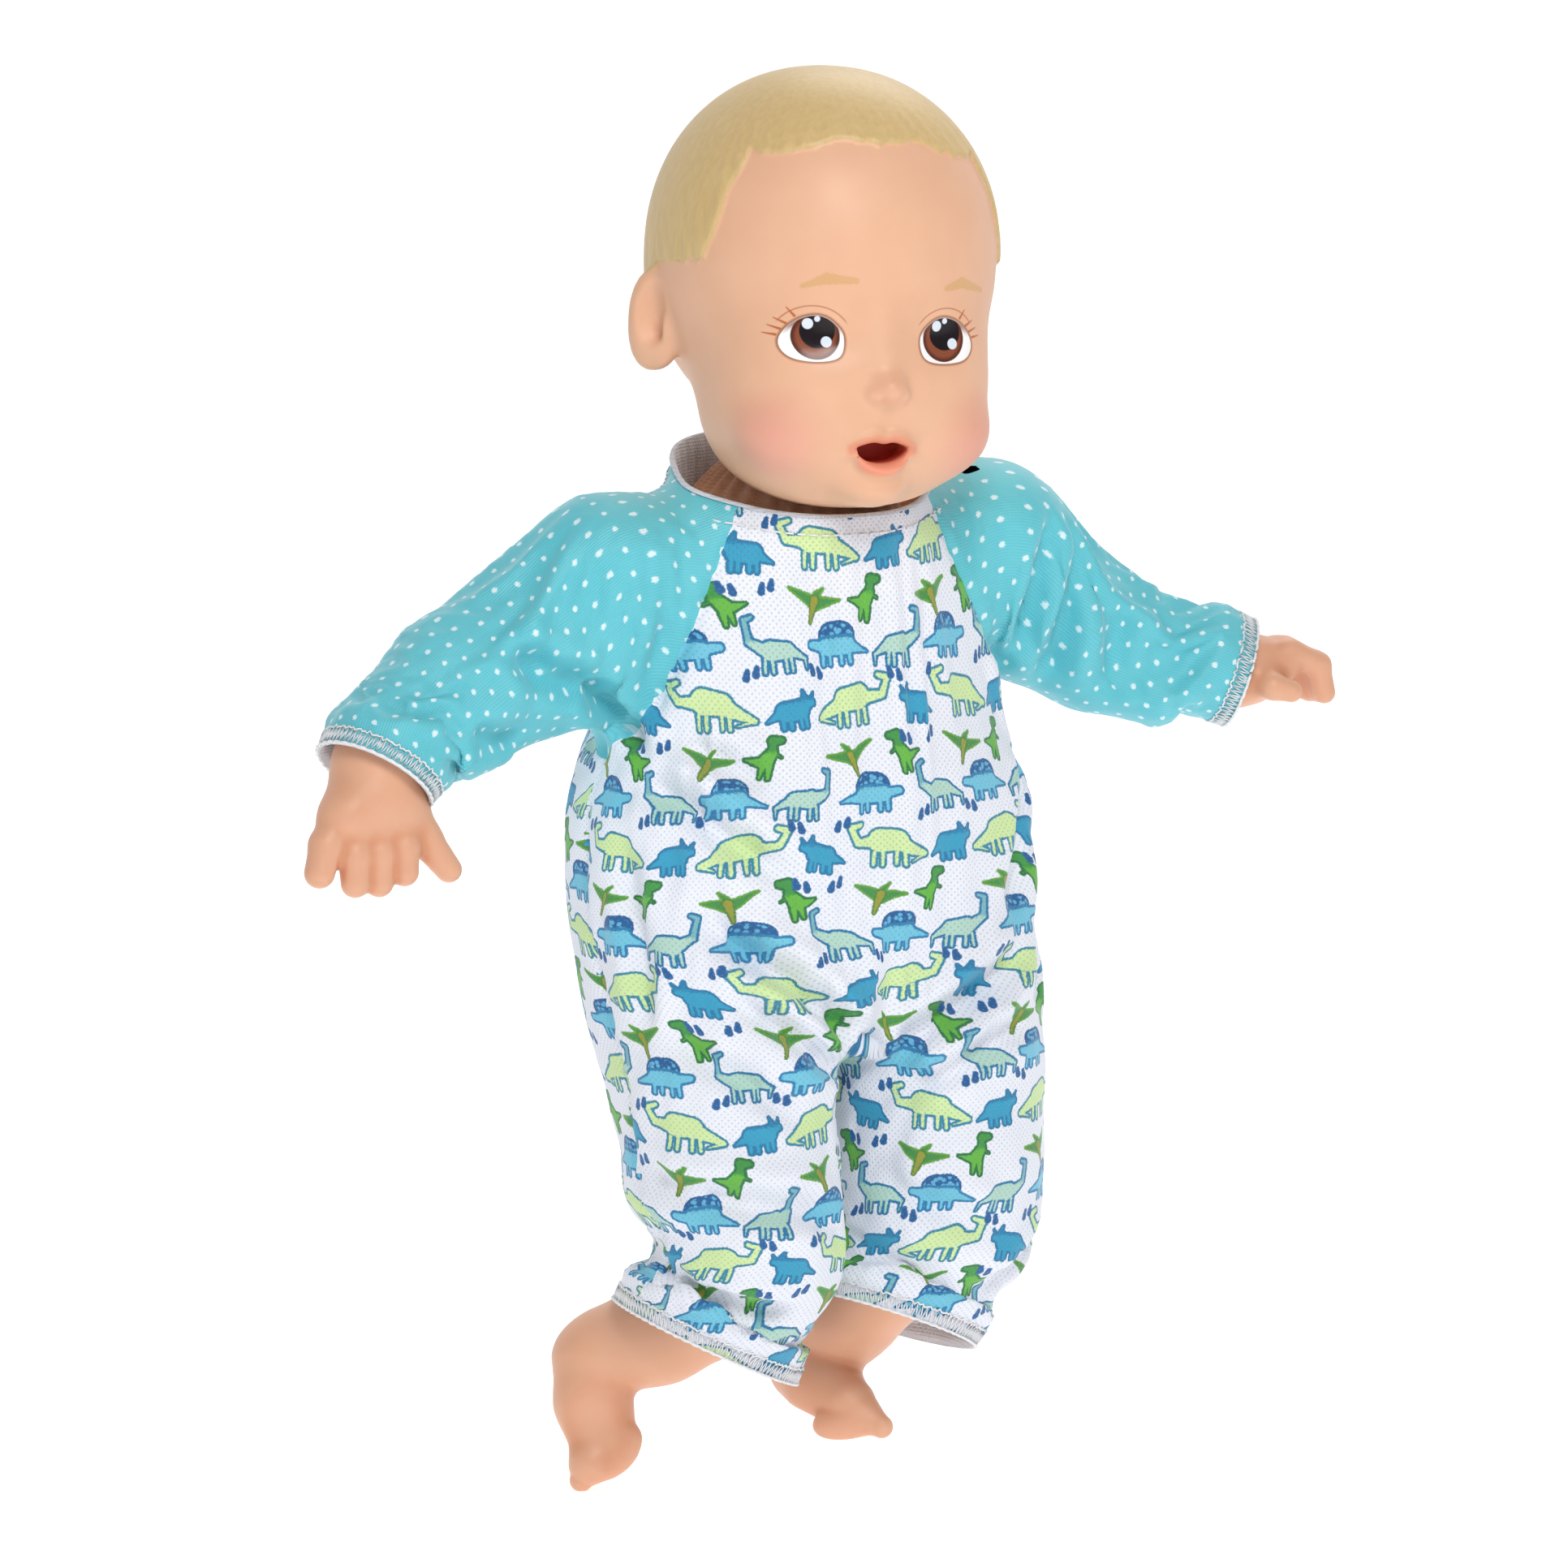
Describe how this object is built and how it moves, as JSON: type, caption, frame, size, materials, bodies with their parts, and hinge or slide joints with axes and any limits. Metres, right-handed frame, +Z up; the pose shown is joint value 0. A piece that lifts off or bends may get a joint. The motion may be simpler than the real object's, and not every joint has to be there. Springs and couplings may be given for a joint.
{
  "type": "interactive baby doll",
  "caption": "Soft-bodied baby doll with vinyl head, arms and legs in a knit romper; head turns and nods, limbs swing, tummy holds a sound module.",
  "frame": {"origin": "middle of the underside of the bounding box, at the lowest toe", "axes": "+Z up, the doll faces -Y, +X is the doll's left side"},
  "size_m": [0.2862, 0.1018, 0.3487],
  "materials": {
    "skin_vinyl": "satin",
    "body_cloth": "matte",
    "stuffing": "matte",
    "print_knit": "matte",
    "aqua_knit": "matte",
    "overlock_thread": "matte",
    "nylon": "matte",
    "white_plastic": "satin",
    "grey_plastic": "satin",
    "red_plastic": "gloss",
    "steel": "satin",
    "circuit_board": "satin"
  },
  "bodies": {
    "torso": {"skin_front": "body_cloth", "skin_back": "body_cloth", "pocket_flap": "body_cloth", "pocket_loop_strip": "nylon", "pocket_hook_strip": "nylon", "stuffing_core": "stuffing", "sound_case_front": "white_plastic", "sound_case_rear": "white_plastic", "case_screw_left": "steel", "case_screw_right": "steel", "battery_door": "white_plastic", "battery_door_screw": "steel", "button_cell_1": "steel", "button_cell_2": "steel", "button_cell_3": "steel", "battery_contact": "steel", "circuit_board": "circuit_board", "speaker": "grey_plastic", "button_spring": "steel", "romper_front": "print_knit", "romper_back": "print_knit", "back_closure_loop": "print_knit", "back_closure_hook": "nylon", "neck_binding": "overlock_thread"},
    "tummy_key": {"tummy_button": "red_plastic"},
    "switch_key": {"power_switch_knob": "grey_plastic"},
    "neck": {"neck_plug": "white_plastic"},
    "head": {"head_shell": "skin_vinyl", "mouth_cup": "red_plastic", "mouth_switch_housing": "white_plastic"},
    "mouth_key": {"mouth_plunger": "grey_plastic"},
    "right_arm": {"upper_arm_right": "body_cloth", "arm_right": "skin_vinyl", "arm_tie_right": "nylon", "sleeve_right": "aqua_knit", "cuff_right": "overlock_thread"},
    "left_arm": {"upper_arm_left": "body_cloth", "arm_left": "skin_vinyl", "arm_tie_left": "nylon", "sleeve_left": "aqua_knit", "cuff_left": "overlock_thread"},
    "right_leg": {"thigh_right": "body_cloth", "leg_right": "skin_vinyl", "leg_tie_right": "nylon", "trouser_right": "print_knit", "hem_right": "overlock_thread"},
    "left_leg": {"thigh_left": "body_cloth", "leg_left": "skin_vinyl", "leg_tie_left": "nylon", "trouser_left": "print_knit", "hem_left": "overlock_thread"}
  },
  "joints": [
    {"name": "head_turn", "type": "hinge", "parent": "torso", "child": "neck", "pos_m": [-0.00121, 0.00057, 0.25489], "axis": [0, 0, 1], "range_deg": [-45, 45], "stiffness_Nm_per_rad": 0.02},
    {"name": "head_nod", "type": "hinge", "parent": "neck", "child": "head", "pos_m": [-0.00121, 0.00057, 0.25489], "axis": [-1, 0, 0], "range_deg": [0, 12], "stiffness_Nm_per_rad": 0.6},
    {"name": "mouth_press", "type": "slide", "parent": "head", "child": "mouth_key", "axis": [0, 1, 0], "range_m": [0, 0.002], "stiffness_N_per_m": 200},
    {"name": "right_shoulder", "type": "hinge", "parent": "torso", "child": "right_arm", "pos_m": [-0.04121, -0.00143, 0.23289], "axis": [0, 1, 0], "range_deg": [-15, 45], "stiffness_Nm_per_rad": 0.3},
    {"name": "left_shoulder", "type": "hinge", "parent": "torso", "child": "left_arm", "pos_m": [0.03879, -0.00143, 0.23289], "axis": [0, -1, 0], "range_deg": [-15, 45], "stiffness_Nm_per_rad": 0.3},
    {"name": "right_hip", "type": "hinge", "parent": "torso", "child": "right_leg", "pos_m": [-0.03021, -0.00543, 0.12889], "axis": [-1, 0, 0], "range_deg": [-15, 60], "stiffness_Nm_per_rad": 0.05},
    {"name": "left_hip", "type": "hinge", "parent": "torso", "child": "left_leg", "pos_m": [0.02779, -0.00543, 0.12889], "axis": [-1, 0, 0], "range_deg": [-15, 60], "stiffness_Nm_per_rad": 0.05},
    {"name": "tummy_press", "type": "slide", "parent": "torso", "child": "tummy_key", "axis": [0, 1, 0], "range_m": [0, 0.0025], "stiffness_N_per_m": 400, "deforming": ["button_spring"]},
    {"name": "power_slide", "type": "slide", "parent": "torso", "child": "switch_key", "axis": [1, 0, 0], "range_m": [0, 0.004]}
  ]
}
